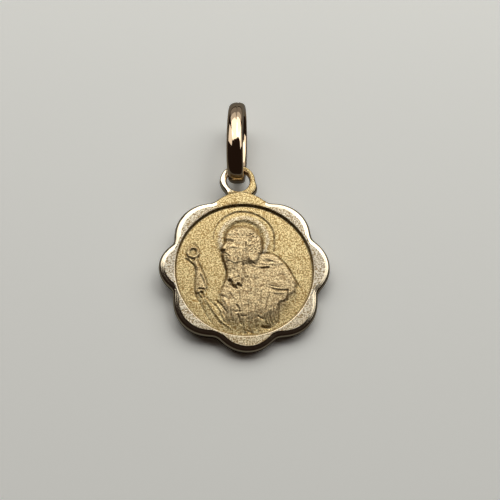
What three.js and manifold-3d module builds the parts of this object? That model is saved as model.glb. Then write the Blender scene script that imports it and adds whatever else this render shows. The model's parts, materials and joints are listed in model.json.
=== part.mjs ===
// A small gold religious medal with its hanging loop, lying on a table.
// The medal is a flat scalloped disc: a matte rim round a sunk round field, a low relief of a bearded
// figure with a halo and a crozier in the field, and a soldered eyelet at the top.
// The loop is an oval ring of half-round wire that stands in the eyelet and props it up from below.
// Millimetres, +Z up. The origin is on the table, in the middle of the whole piece.

import * as THREE from 'three';
import Module from 'manifold-3d';

const wasm = await Module();
wasm.setup();

// Medal disc. Its own frame has z 0 on the back, y towards the eyelet.
const MEDAL_RADIUS = 7.5;
const MEDAL_THICKNESS = 1.15;
const RIM_WIDTH = 1.4;
const NOTCH_ROUNDING = 0.16;
const EDGE_WIDTH = 0.4;
const EDGE_DROP = 0.42;
const BACK_EDGE = 0.12;
const LEAST_FLAT = 0.25;

// Sunk field
const FIELD_RADIUS = MEDAL_RADIUS - RIM_WIDTH;
const FIELD_DEPTH = 0.26;
const WALL_WIDTH = 0.12;

// Relief, as heights above the field
const RELIEF_HEIGHT = 0.5;
const RELIEF_FADE = 0.45;
const BLEND = 0.025;

// Hanging loop: an oval ring of wire with a domed outside, measured over its outside. Angles in degrees.
const LOOP_HALF_LENGTH = 4.28;
const LOOP_HALF_HEIGHT = 2.6;
const WIRE_WIDTH = 1.44;
const WIRE_CROWN = 0.48;
const WIRE_INSIDE = 0.34;
const WIRE_FULLNESS = 2.6;
const LOOP_LEAN = 7;
const LOOP_TURN = 3.2;
const WIRE_RISE = WIRE_CROWN + WIRE_INSIDE;

// Eyelet: its hole takes the wire with some play, and its foot stands on the top lobe
const EYELET_X = -0.33;
const EYELET_PLAY = 0.45;
const EYELET_WALL = 0.46;
const EYELET_ABOVE_LOBE = 0.145;
const EYELET_THICKNESS = 0.78;
const EYELET_BELOW_FACE = 0.13;
const EYELET_FOOT = 0.22;
const EYELET_FOOT_ANGLE = 74;
const EYELET_FOOT_DIRECTION = -90;
const EYELET_ROUNDING = 0.14;
const LARGEST_ROUNDING = 1 / 3;

// How the two lie together
const LOOP_FORWARD = 0.05;
const LOOP_SIDE_SHIFT = 0.02;
const REST_CLEARANCE = 0.14;

// Fineness of the faceted surfaces
const FIELD_RINGS = 24;
const BACK_SECTORS = 24;
const EDGE_STEPS = 4;
const EYELET_SECTORS = 36;
const LOOP_SECTIONS = 52;
const WIRE_SIDES = 12;
const SHORTEST_EDGE = 0.004;

const DEGREE = Math.PI / 180;
const ANGLE_ROUNDING = 1e-6;

// Lobes, counter-clockwise. Angle of the notch that a lobe starts from, how far this notch and the lobe's
// crown reach over the rim, and the size of its rounded edge. Angles in degrees, reaches as shares of
// RIM_WIDTH, edge as a share of EDGE_WIDTH and EDGE_DROP. The lobe under the eyelet has a sharper edge.
const TOP_LOBE = 2;
const LOBES = [
  { notchAngle: -21, notchReach: 0.5, crownReach: 1.07, edge: 1 },
  { notchAngle: 24.5, notchReach: 0.51, crownReach: 0.99, edge: 1 },
  { notchAngle: 69.3, notchReach: 0.48, crownReach: 0.9, edge: 0.32 },
  { notchAngle: 113, notchReach: 0.57, crownReach: 0.98, edge: 1 },
  { notchAngle: 158.7, notchReach: 0.44, crownReach: 1.0, edge: 1 },
  { notchAngle: 198, notchReach: 0.36, crownReach: 0.91, edge: 1 },
  { notchAngle: 247, notchReach: 0.41, crownReach: 0.95, edge: 1 },
  { notchAngle: 292.5, notchReach: 0.49, crownReach: 1.0, edge: 1 },
];

// Halo, a dished plate round the head, and the crozier's head, a small ring. Places and widths are shares of
// FIELD_RADIUS, heights are shares of RELIEF_HEIGHT.
const HALO = { x: 0, y: 0.443, radius: 0.446, crestRadius: 0.36, stepHeight: 0.12, crestHeight: 0.34 };
const CROOK = { x: -0.738, y: 0.246, radius: 0.077, halfWidth: 0.028, height: 0.32 };

// Forms of the relief. Each is a bent ridge: a start, a point that its middle bends towards, an end, and
// half its width at both ends, in hundredths of FIELD_RADIUS. Its height is in hundredths of RELIEF_HEIGHT,
// and flat is the part of its width, in hundredths, that has a level top.
const FORM_COLUMNS = [
  'fromX', 'fromY', 'bendX', 'bendY', 'toX', 'toY', 'fromHalf', 'toHalf', 'height', 'flat',
];
const FORMS = {
  backOfCape: [38, 3, 55, -20, 54, -43, 17, 21, 60, 50],
  chestAndRobe: [3, -8, 9, -49, 7, -105, 27, 40, 60, 45],
  hangingSleeve: [64, -31, 61, -49, 56, -62, 13, 5, 34, 40],
  staffSleeve: [-61, -40, -48, -64, -26, -80, 5, 20, 54, 30],
  otherSleeve: [45, -8, 60, -25, 50, -36, 14, 10, 76, 30],
  forearm: [47, -43, 41, -57, 34, -69, 10, 7, 84, 20],
  restingHand: [34, -69, 33, -75, 30, -81, 7, 6, 96, 20],
  hoodBehind: [26, 14, 41, 19, 51, 8, 7, 5, 84, 20],
  hoodCollar: [39, 7, 20, -2, 6, 7, 5, 4, 88, 10],
  hoodEdge: [7, 5, 3, 16, 7, 29, 4, 3, 92, 10],
  neck: [14, 33, 13, 23, 16, 13, 13, 14, 64, 30],
  skull: [-4, 40, -2, 40, 0, 40, 26, 27, 84, 25],
  face: [-12, 41, -14, 33, -15, 23, 16, 13, 84, 25],
  nose: [-28, 39, -30, 34, -32, 30, 2.5, 3, 68, 10],
  beardFront: [-19, 17, -11, -2, -18, -23, 13, 7, 100, 10],
  beardBack: [-6, 16, -6, -7, -12, -29, 11, 4, 92, 10],
  staff: [-70, 16, -65, -2, -61, -32, 2.5, 2.5, 34, 10],
  staffBarb: [-70, 11, -77, 9, -83, 15, 2, 1.5, 24, 10],
  staffCloth: [-68, 5, -64, -11, -63, -25, 3, 9, 24, 40],
  staffClothEnd: [-65, -34, -66, -43, -67, -48, 6, 4, 24, 30],
  grippingHand: [-66, -32, -62, -34, -59, -36, 4.5, 5, 60, 20],
  robeFoldLeft: [-14, -43, -19, -69, -13, -98, 3.5, 5, 76, 10],
  robeFoldMiddle: [2, -36, 0, -69, 5, -100, 3.5, 5, 76, 10],
  robeFoldRight: [16, -39, 20, -69, 16, -100, 3.5, 5, 74, 10],
  sleeveFold: [-38, -67, -31, -80, -28, -97, 4, 5, 66, 10],
};
const BEND_STEPS = 10;

// Small shared helpers

function ease(share) {
  const t = Math.min(Math.max(share, 0), 1);
  return t * t * (3 - 2 * t);
}

function quarterRound(share) {
  const t = Math.min(Math.max(share, 0), 1);
  return Math.sqrt(1 - (1 - t) * (1 - t));
}

function higherOf(a, b, blend) {
  const overlap = Math.max(blend - Math.abs(a - b), 0) / blend;
  return Math.max(a, b) + (overlap * overlap * blend) / 4;
}

function closedGeometry(points, faces) {
  const geometry = new THREE.BufferGeometry();
  geometry.setAttribute('position', new THREE.Float32BufferAttribute(points.flat(), 3));
  geometry.setIndex(faces.flat());
  return geometry;
}

function solidOf(geometry) {
  return new wasm.Manifold(new wasm.Mesh({
    numProp: 3,
    vertProperties: Float32Array.from(geometry.attributes.position.array),
    triVerts: Uint32Array.from(geometry.index.array),
  }));
}

// The mesh of a solid, with the ends of each edge that is too short to keep drawn together
function geometryOf(solid) {
  const mesh = solid.getMesh();
  const points = mesh.vertProperties;
  const standsFor = Array.from({ length: points.length / 3 }, (_, k) => k);
  const keeper = (k) => (standsFor[k] === k ? k : keeper(standsFor[k]));
  const corners = (face) => [0, 1, 2].map((k) => mesh.triVerts[face * 3 + k]);
  const faceCount = mesh.triVerts.length / 3;
  for (let face = 0; face < faceCount; face += 1) {
    const around = corners(face);
    around.forEach((a, k) => {
      const b = around[(k + 1) % 3];
      const reach = [0, 1, 2].map((axis) => points[a * 3 + axis] - points[b * 3 + axis]);
      if (Math.hypot(...reach) < SHORTEST_EDGE) standsFor[keeper(a)] = keeper(b);
    });
  }
  const faces = [];
  for (let face = 0; face < faceCount; face += 1) {
    const around = corners(face).map(keeper);
    if (new Set(around).size === 3) faces.push(...around);
  }
  const geometry = new THREE.BufferGeometry();
  geometry.setAttribute('position', new THREE.BufferAttribute(Float32Array.from(points), 3));
  geometry.setIndex(faces);
  return geometry;
}

// Faces between two rings of points that run the same way round from the same angle.
function band(inner, outer) {
  const faces = [];
  let i = 0;
  let j = 0;
  while (i < inner.length || j < outer.length) {
    const innerPoint = inner[i % inner.length];
    const outerPoint = outer[j % outer.length];
    const outerIsNext = (j + 1) / outer.length <= (i + 1) / inner.length;
    if (outerIsNext) {
      j += 1;
      faces.push([innerPoint, outerPoint, outer[j % outer.length]]);
    } else {
      i += 1;
      faces.push([innerPoint, outerPoint, inner[i % inner.length]]);
    }
  }
  return faces;
}

// A tube of sections along a closed loop. Each section lists as many points, the same way round.
function closedTube(sections) {
  const sides = sections[0].length;
  const faces = [];
  sections.forEach((section, s) => {
    const next = ((s + 1) % sections.length) * sides;
    for (let k = 0; k < sides; k += 1) {
      const here = s * sides;
      const k2 = (k + 1) % sides;
      faces.push([here + k, next + k, next + k2]);
      faces.push([here + k, next + k2, here + k2]);
    }
  });
  return closedGeometry(sections.flat(), faces);
}

// Outline of the disc: each lobe is an arc through its two notches and its crown.

function arcThrough(a, b, c) {
  const d = 2 * (a.x * (b.y - c.y) + b.x * (c.y - a.y) + c.x * (a.y - b.y));
  const [aa, bb, cc] = [a, b, c].map((p) => p.x * p.x + p.y * p.y);
  const x = (aa * (b.y - c.y) + bb * (c.y - a.y) + cc * (a.y - b.y)) / d;
  const y = (aa * (c.x - b.x) + bb * (a.x - c.x) + cc * (b.x - a.x)) / d;
  return { x, y, radius: Math.hypot(a.x - x, a.y - y) };
}

function polarPoint(angle, radius) {
  return { x: radius * Math.cos(angle * DEGREE), y: radius * Math.sin(angle * DEGREE) };
}

function rimReach(share) {
  return FIELD_RADIUS + share * RIM_WIDTH;
}

const lobes = LOBES.map((lobe, k) => {
  const next = LOBES[(k + 1) % LOBES.length];
  const end = next.notchAngle + (next.notchAngle < lobe.notchAngle ? 360 : 0);
  const middle = (lobe.notchAngle + end) / 2;
  const arc = arcThrough(
    polarPoint(lobe.notchAngle, rimReach(lobe.notchReach)),
    polarPoint(middle, rimReach(lobe.crownReach)),
    polarPoint(end, rimReach(next.notchReach)),
  );
  return { middle, half: (end - lobe.notchAngle) / 2, arc, edge: lobe.edge };
});

function turnsTo(angle, reference) {
  return ((((angle - reference + 180) % 360) + 360) % 360) - 180;
}

function lobeAt(angle) {
  return lobes.findIndex((lobe) => Math.abs(turnsTo(angle, lobe.middle)) <= lobe.half + ANGLE_ROUNDING);
}

// Size of the rounded edge at an angle, as a share: a lobe's own at its crown, shared at its notches
function edgeShare(angle) {
  const here = lobeAt(angle);
  const turn = turnsTo(angle, lobes[here].middle);
  const beside = (here + (turn > 0 ? 1 : lobes.length - 1)) % lobes.length;
  const towardsNotch = ease(Math.abs(turn) / lobes[here].half);
  return lobes[here].edge + (towardsNotch / 2) * (lobes[beside].edge - lobes[here].edge);
}

// Reach of the outline at an angle, set in by a margin. The notches are a little rounded, and there the
// margin is limited so that some of the rim's flat is left.
function outlineReach(angle, margin) {
  const lobe = lobes[lobeAt(angle)];
  const turn = turnsTo(angle, lobe.middle);
  const fromNotch = 1 - Math.abs(turn) / lobe.half;
  const rounded = (Math.hypot(fromNotch, NOTCH_ROUNDING) - NOTCH_ROUNDING)
    / (Math.hypot(1, NOTCH_ROUNDING) - NOTCH_ROUNDING);
  const used = (lobe.middle + Math.sign(turn) * lobe.half * (1 - rounded)) * DEGREE;
  const along = lobe.arc.x * Math.cos(used) + lobe.arc.y * Math.sin(used);
  const across = lobe.arc.x * Math.sin(used) - lobe.arc.y * Math.cos(used);
  const full = along + Math.sqrt(lobe.arc.radius ** 2 - across * across);
  const setIn = along + Math.sqrt(Math.max((lobe.arc.radius - margin) ** 2 - across * across, 0));
  return Math.max(setIn, full - (1 - LEAST_FLAT) * (full - FIELD_RADIUS));
}

// Relief of the field

const forms = Object.values(FORMS).map((row) => {
  const form = Object.fromEntries(FORM_COLUMNS.map((column, k) => [column, row[k] / 100]));
  const curve = new THREE.QuadraticBezierCurve(
    new THREE.Vector2(form.fromX, form.fromY).multiplyScalar(FIELD_RADIUS),
    new THREE.Vector2(form.bendX, form.bendY).multiplyScalar(FIELD_RADIUS),
    new THREE.Vector2(form.toX, form.toY).multiplyScalar(FIELD_RADIUS),
  );
  return { ...form, path: curve.getPoints(BEND_STEPS) };
});

function formHeight(form, x, y) {
  let best = -Infinity;
  for (let k = 0; k < BEND_STEPS; k += 1) {
    const a = form.path[k];
    const b = form.path[k + 1];
    const [ux, uy] = [b.x - a.x, b.y - a.y];
    const along = Math.min(Math.max(((x - a.x) * ux + (y - a.y) * uy) / (ux * ux + uy * uy), 0), 1);
    const share = (k + along) / BEND_STEPS;
    const half = FIELD_RADIUS * (form.fromHalf + (form.toHalf - form.fromHalf) * share);
    const distance = Math.hypot(x - a.x - along * ux, y - a.y - along * uy);
    best = Math.max(best, (1 - distance / half) / (1 - form.flat));
  }
  return form.height * RELIEF_HEIGHT * quarterRound(best);
}

function haloHeight(x, y) {
  const reach = Math.hypot(x / FIELD_RADIUS - HALO.x, y / FIELD_RADIUS - HALO.y);
  if (reach > HALO.radius) return 0;
  const outside = (HALO.radius - reach) / (HALO.radius - HALO.crestRadius);
  const rise = HALO.stepHeight + (HALO.crestHeight - HALO.stepHeight) * ease(outside);
  return RELIEF_HEIGHT * (outside < 1 ? rise : HALO.crestHeight * ease(reach / HALO.crestRadius));
}

function crookHeight(x, y) {
  const reach = Math.hypot(x / FIELD_RADIUS - CROOK.x, y / FIELD_RADIUS - CROOK.y);
  return RELIEF_HEIGHT * CROOK.height * quarterRound(1 - Math.abs(reach - CROOK.radius) / CROOK.halfWidth);
}

function reliefHeight(x, y) {
  let height = Math.max(haloHeight(x, y), crookHeight(x, y));
  for (const form of forms) {
    height = higherOf(height, formHeight(form, x, y), BLEND);
  }
  return height * ease((FIELD_RADIUS - WALL_WIDTH - Math.hypot(x, y)) / RELIEF_FADE);
}

// Disc, as one closed surface of rings from the middle of the field over the rim to the back

function discGeometry() {
  const fieldFloor = MEDAL_THICKNESS - FIELD_DEPTH;
  const floorRadius = FIELD_RADIUS - WALL_WIDTH;
  const points = [[0, 0, fieldFloor + reliefHeight(0, 0)]];
  const rings = [[0]];
  const addRing = (count, place) => {
    const ring = [];
    for (let k = 0; k < count; k += 1) {
      ring.push(points.length);
      points.push(place((360 * k) / count));
    }
    rings.push(ring);
  };
  for (let ring = 1; ring <= FIELD_RINGS; ring += 1) {
    addRing(LOBES.length * ring, (angle) => {
      const at = polarPoint(angle, (floorRadius * ring) / FIELD_RINGS);
      return [at.x, at.y, fieldFloor + reliefHeight(at.x, at.y)];
    });
  }
  const sectors = LOBES.length * FIELD_RINGS;
  const addOutline = (margin, z) => addRing(sectors, (angle) => {
    const at = polarPoint(angle, outlineReach(angle, margin));
    return [at.x, at.y, z];
  });
  addRing(sectors, (angle) => {
    const at = polarPoint(angle, FIELD_RADIUS);
    return [at.x, at.y, MEDAL_THICKNESS];
  });
  for (let step = 0; step <= EDGE_STEPS; step += 1) {
    const turn = (90 * DEGREE * step) / EDGE_STEPS;
    addRing(sectors, (angle) => {
      const share = edgeShare(angle);
      const at = polarPoint(angle, outlineReach(angle, share * EDGE_WIDTH * (1 - Math.sin(turn))));
      return [at.x, at.y, MEDAL_THICKNESS - share * EDGE_DROP * (1 - Math.cos(turn))];
    });
  }
  addOutline(0, BACK_EDGE);
  addOutline(BACK_EDGE, 0);
  addRing(BACK_SECTORS, (angle) => {
    const at = polarPoint(angle, FIELD_RADIUS - EDGE_WIDTH);
    return [at.x, at.y, 0];
  });
  const back = points.length;
  points.push([0, 0, 0]);

  const faces = rings[1].map((point, k) => [0, point, rings[1][(k + 1) % rings[1].length]]);
  for (let k = 1; k + 1 < rings.length; k += 1) {
    faces.push(...band(rings[k], rings[k + 1]));
  }
  const last = rings[rings.length - 1];
  last.forEach((point, k) => faces.push([point, back, last[(k + 1) % last.length]]));
  return closedGeometry(points, faces);
}

// Eyelet: a flat ring with rounded edges, whose foot widens and runs into the top lobe

const eyeletHole = WIRE_WIDTH / 2 + EYELET_PLAY;
const eyeletY = rimReach(LOBES[TOP_LOBE].crownReach) + EYELET_ABOVE_LOBE + eyeletHole;
const eyeletUnderside = MEDAL_THICKNESS - EYELET_BELOW_FACE - EYELET_THICKNESS;

function eyeletGeometry() {
  const sections = [];
  const rounding = Math.min(EYELET_ROUNDING, LARGEST_ROUNDING * Math.min(EYELET_THICKNESS, EYELET_WALL));
  for (let k = 0; k < EYELET_SECTORS; k += 1) {
    const angle = EYELET_FOOT_DIRECTION + (360 * k) / EYELET_SECTORS;
    const fromFoot = Math.abs(turnsTo(angle, EYELET_FOOT_DIRECTION)) / EYELET_FOOT_ANGLE;
    const reach = eyeletHole + EYELET_WALL + EYELET_FOOT * ease(2 * (1 - fromFoot));
    const place = (radius, z) => {
      const at = polarPoint(angle, radius);
      return [EYELET_X + at.x, eyeletY + at.y, eyeletUnderside + z];
    };
    sections.push([
      place(eyeletHole + rounding, 0),
      place(reach - rounding, 0),
      place(reach, rounding),
      place(reach, EYELET_THICKNESS - rounding),
      place(reach - rounding, EYELET_THICKNESS),
      place(eyeletHole + rounding, EYELET_THICKNESS),
      place(eyeletHole, EYELET_THICKNESS - rounding),
      place(eyeletHole, rounding),
    ]);
  }
  return closedTube(sections);
}

function medalGeometry() {
  return geometryOf(solidOf(discGeometry()).add(solidOf(eyeletGeometry())));
}

// Loop: wire with a domed outside swept round an oval that stands upright, with its long way along y

function loopGeometry() {
  const full = (value) => Math.sign(value) * Math.abs(value) ** (2 / WIRE_FULLNESS);
  const centreHalfLength = LOOP_HALF_LENGTH - WIRE_CROWN;
  const centreHalfHeight = LOOP_HALF_HEIGHT - WIRE_CROWN;
  const sections = [];
  for (let k = 0; k < LOOP_SECTIONS; k += 1) {
    const turn = (2 * Math.PI * k) / LOOP_SECTIONS;
    const outward = new THREE.Vector2(centreHalfHeight * Math.cos(turn), centreHalfLength * Math.sin(turn));
    outward.normalize();
    const centre = new THREE.Vector2(centreHalfLength * Math.cos(turn), centreHalfHeight * Math.sin(turn));
    const section = [];
    for (let side = 0; side < WIRE_SIDES; side += 1) {
      const around = (2 * Math.PI * side) / WIRE_SIDES;
      const rise = full(Math.sin(around)) * (Math.sin(around) > 0 ? WIRE_CROWN : WIRE_INSIDE);
      section.push([
        (-WIRE_WIDTH / 2) * full(Math.cos(around)),
        centre.x + outward.x * rise,
        centre.y + outward.y * rise,
      ]);
    }
    sections.push(section);
  }
  return closedTube(sections);
}

// How the medal leans on the loop: the far wire of the eyelet lies just over the loop's lower strand,
// and the crowns of two lobes touch the table.

const loopCentreHeight = LOOP_HALF_HEIGHT * Math.cos(LOOP_LEAN * DEGREE);
const loopCentreY = eyeletY - WIRE_RISE / 2 - LOOP_FORWARD + LOOP_HALF_LENGTH;
const farWireY = eyeletY + eyeletHole;
const alongStrand = (loopCentreY - farWireY) / (LOOP_HALF_LENGTH - WIRE_RISE);
const strandHeight = loopCentreHeight
  - (LOOP_HALF_HEIGHT - WIRE_RISE) * Math.sqrt(Math.max(1 - alongStrand * alongStrand, 0));
const eyeletLift = strandHeight + REST_CLEARANCE - eyeletUnderside;
const pitch = Math.asin(eyeletLift / (farWireY + MEDAL_RADIUS));
const roll = Math.atan(Math.tan(pitch) * Math.tan(Math.PI / LOBES.length));

const gold = new THREE.MeshStandardMaterial({ color: 0xc9a24c, roughness: 0.42, metalness: 1 });
const polishedGold = new THREE.MeshStandardMaterial({ color: 0xd6ab6c, roughness: 0.12, metalness: 1 });

const medal = new THREE.Mesh(medalGeometry(), gold);
medal.name = 'medal';
medal.rotation.set(pitch, roll, 0, 'XYZ');

const hangingLoop = new THREE.Mesh(loopGeometry(), polishedGold);
hangingLoop.name = 'hanging_loop';
hangingLoop.position.set(EYELET_X + LOOP_SIDE_SHIFT, loopCentreY, 0);
hangingLoop.rotation.set(0, -LOOP_LEAN * DEGREE, -LOOP_TURN * DEGREE, 'ZYX');

// Both stand on the table, and the middle of their common box is the origin.
for (const piece of [medal, hangingLoop]) {
  piece.position.z = -new THREE.Box3().setFromObject(piece, true).min.z;
}
const pendant = new THREE.Group();
pendant.add(medal, hangingLoop);
const middle = new THREE.Box3().setFromObject(pendant, true).getCenter(new THREE.Vector3());
pendant.position.set(-middle.x, -middle.y, 0);
pendant.updateMatrixWorld(true);

export default pendant;
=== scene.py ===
# A small gold religious medal with its hanging loop, lying on a pale table.
# Places on the medal are in millimetres in its own frame: x and y over its face, z up from its back,
# y towards the eyelet. The loop has a frame of its own, and stands in it with its long way along y.

import json
import math
from collections import namedtuple

import bpy
import numpy as np
from mathutils import Matrix, Vector


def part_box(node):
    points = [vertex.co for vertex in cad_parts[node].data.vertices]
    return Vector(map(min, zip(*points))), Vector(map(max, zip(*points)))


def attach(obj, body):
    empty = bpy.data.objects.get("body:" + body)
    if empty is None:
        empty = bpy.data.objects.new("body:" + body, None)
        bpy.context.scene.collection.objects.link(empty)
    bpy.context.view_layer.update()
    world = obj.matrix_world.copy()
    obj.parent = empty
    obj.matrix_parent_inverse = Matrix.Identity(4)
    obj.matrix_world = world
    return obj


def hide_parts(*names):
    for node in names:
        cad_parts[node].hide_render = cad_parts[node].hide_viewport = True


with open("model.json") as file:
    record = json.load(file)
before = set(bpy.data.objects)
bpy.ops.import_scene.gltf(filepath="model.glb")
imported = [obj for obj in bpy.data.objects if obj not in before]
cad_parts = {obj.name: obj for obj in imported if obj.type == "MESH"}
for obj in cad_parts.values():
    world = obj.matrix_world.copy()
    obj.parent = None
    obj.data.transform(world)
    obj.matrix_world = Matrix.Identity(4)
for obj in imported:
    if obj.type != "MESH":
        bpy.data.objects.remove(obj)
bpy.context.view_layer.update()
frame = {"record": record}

MM = 0.001
TINY = 1e-6

# Disc, and where the mount on its back lies
MEDAL_RADIUS = 7.5
MEDAL_THICKNESS = 1.15
RIM_WIDTH = 1.4
FIELD_RADIUS = MEDAL_RADIUS - RIM_WIDTH
FIELD_DEPTH = 0.26
FIELD_FLOOR = MEDAL_THICKNESS - FIELD_DEPTH
WALL_WIDTH = 0.12
MOUNT_PLACE = Vector((0.39, -2.97, 0.0))

# Rim and outer edge. The rim leans down to a shoulder, rises to a fine burr and turns down in an arc.
LIP_WIDTH = 0.05
NOTCH_ROUNDING = 0.16
LEAST_FLAT = 0.25
SHOULDER_WIDTH = 0.3
SHOULDER_LEAN = 17.0
SHOULDER_SANDED_DROP = 0.01
BURR_WIDTH = 0.08
BURR_HEIGHT = 0.014
OUTER_WIDTH = 0.31
BACK_EDGE_WIDTH = 0.2
BACK_EDGE_HEIGHT = 0.55
BACK_MARGIN = 0.12

# Lobes, counter-clockwise: the angle of the notch that a lobe starts from, how far this notch and the
# lobe's crown reach over the rim, as shares of its width, and the size of its rounded edge, as a share.
LOBES = [
    (-21.0, 0.5, 1.07, 0.75),
    (24.5, 0.51, 0.99, 1.0),
    (69.3, 0.48, 0.9, 0.32),
    (113.0, 0.57, 0.98, 1.0),
    (158.7, 0.44, 1.0, 0.85),
    (198.0, 0.36, 0.91, 0.85),
    (247.0, 0.41, 0.95, 0.8),
    (292.5, 0.49, 1.0, 0.8),
]
TOP_LOBE = 2
TOP_LOBE_SANDED = 0.9

# Eyelet, whose hole is a little narrower across than along
EYELET_X = -0.33
EYELET_HOLE = 1.17
EYELET_NARROWER = 0.08
EYELET_STANDOFF = 0.145
EYELET_Y = FIELD_RADIUS + LOBES[TOP_LOBE][2] * RIM_WIDTH + EYELET_STANDOFF + EYELET_HOLE
EYELET_THICKNESS = 0.78
EYELET_SUNK = 0.13
EYELET_UNDERSIDE = MEDAL_THICKNESS - EYELET_SUNK - EYELET_THICKNESS
EYELET_FOOT = 0.4
EYELET_FOOT_ANGLE = 72.0
EYELET_FOOT_DIRECTION = -70.0
EYELET_INNER_ROUNDING = 0.15
EYELET_WORN_DIRECTION = 186.0
EYELET_WORN_ANGLE = 46.0
EYELET_FACE_DEPTH = 0.06

# Width of the ring's face by the angle in degrees, and rounding of its outer edge
EYELET_WALLS = [
    (0, 0.48), (50, 0.4), (90, 0.32), (130, 0.46), (180, 0.64), (230, 0.5), (270, 0.44), (320, 0.48),
    (360, 0.48),
]
EYELET_ROUNDINGS = [
    (0, 0.14), (90, 0.14), (140, 0.16), (180, 0.18), (230, 0.16), (270, 0.16), (320, 0.34), (360, 0.2),
]

# Loop. Its wire has a domed outside, and a greater fullness makes the section squarer. The section changes
# from the near end to the far one, by WIRE_CHANGE in the middle.
LOOP_HALF_LENGTH = 4.275
LOOP_HALF_HEIGHT = 2.575
LOOP_LEAN = 7.0
LOOP_TURN = 3.2
WIRE_WIDTH = 1.5
WIRE_CROWN = 0.48
WIRE_INSIDE = 0.34
WIRE_FULLNESS_LEFT = 2.3
WIRE_FULLNESS_FAR = 2.4
WIRE_FULLNESS_NEAR = 3.6
WIRE_CHANGE = 0.5

# Seam on the wire: its place across, half its width and its depth. Its ends are the cosine and the sine of
# the turn round the loop, and its lines are extra lines of the mesh, as shares of half its width.
SEAM_PLACE = 0.1
SEAM_HALF = 0.075
SEAM_DEPTH = 0.045
SEAM_END_COSINE = 0.1
SEAM_FADE = 0.3
SEAM_END_SINE = -0.3
SEAM_LINES = (-1.3, -1, -0.5, 0, 0.5, 1, 1.3)

# Fineness
FIELD_RINGS = 122
RIM_STEPS = 4
SHOULDER_STEPS = 4
OUTER_STEPS = 7
BACK_STEPS = 3
EYELET_SECTORS = 120
EYELET_CORNER_POINTS = 7
LOOP_SECTIONS = 220
WIRE_SIDES = 56
LINE_STEPS = 6


# Curves and heights

def ease(share):
    """A soft step from 0 to 1."""
    t = np.clip(share, 0, 1)
    return t * t * (3 - 2 * t)


def quarter_round(share):
    t = np.clip(share, 0, 1)
    return np.sqrt(1 - (1 - t) ** 2)


def smooth_closed_line(points):
    """A soft closed line through points, which may carry more columns than x and y."""
    rows = np.array(points, float)
    line = []
    for k in range(len(rows)):
        a, b, c, d = (rows[(k + step) % len(rows)] for step in (-1, 0, 1, 2))
        for t in np.arange(LINE_STEPS) / LINE_STEPS:
            line.append(0.5 * (2 * b + (c - a) * t + (2 * a - 5 * b + 4 * c - d) * t ** 2
                               + (3 * b - a - 3 * c + d) * t ** 3))
    line.append(rows[0])
    return np.array(line)


def nearest_on_line(x, y, line):
    """Distance of each point to a line, and how far along the line its nearest place is, 0 to 1."""
    best = np.full(x.shape, np.inf)
    along = np.zeros(x.shape)
    for k in range(len(line) - 1):
        (ax, ay), (bx, by) = line[k][:2], line[k + 1][:2]
        ux, uy = bx - ax, by - ay
        share = np.clip(((x - ax) * ux + (y - ay) * uy) / max(ux * ux + uy * uy, TINY ** 2), 0, 1)
        distance = np.hypot(x - ax - share * ux, y - ay - share * uy)
        nearer = distance < best
        best[nearer] = distance[nearer]
        along[nearer] = ((k + share) / (len(line) - 1))[nearer]
    return best, along


def inside_of(x, y, line):
    """Whether each point lies inside a closed line."""
    inside = np.zeros(x.shape, bool)
    for k in range(len(line) - 1):
        (ax, ay), (bx, by) = line[k][:2], line[k + 1][:2]
        if ay != by:
            crosses = (ay > y) != (by > y)
            inside ^= crosses & (x < ax + (y - ay) / (by - ay) * (bx - ax))
    return inside


def near_box(x, y, line, margin):
    """Whether each point lies in the box round a line, with a margin."""
    low = line[:, :2].min(0) - margin
    high = line[:, :2].max(0) + margin
    return (x > low[0]) & (x < high[0]) & (y > low[1]) & (y < high[1])


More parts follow.
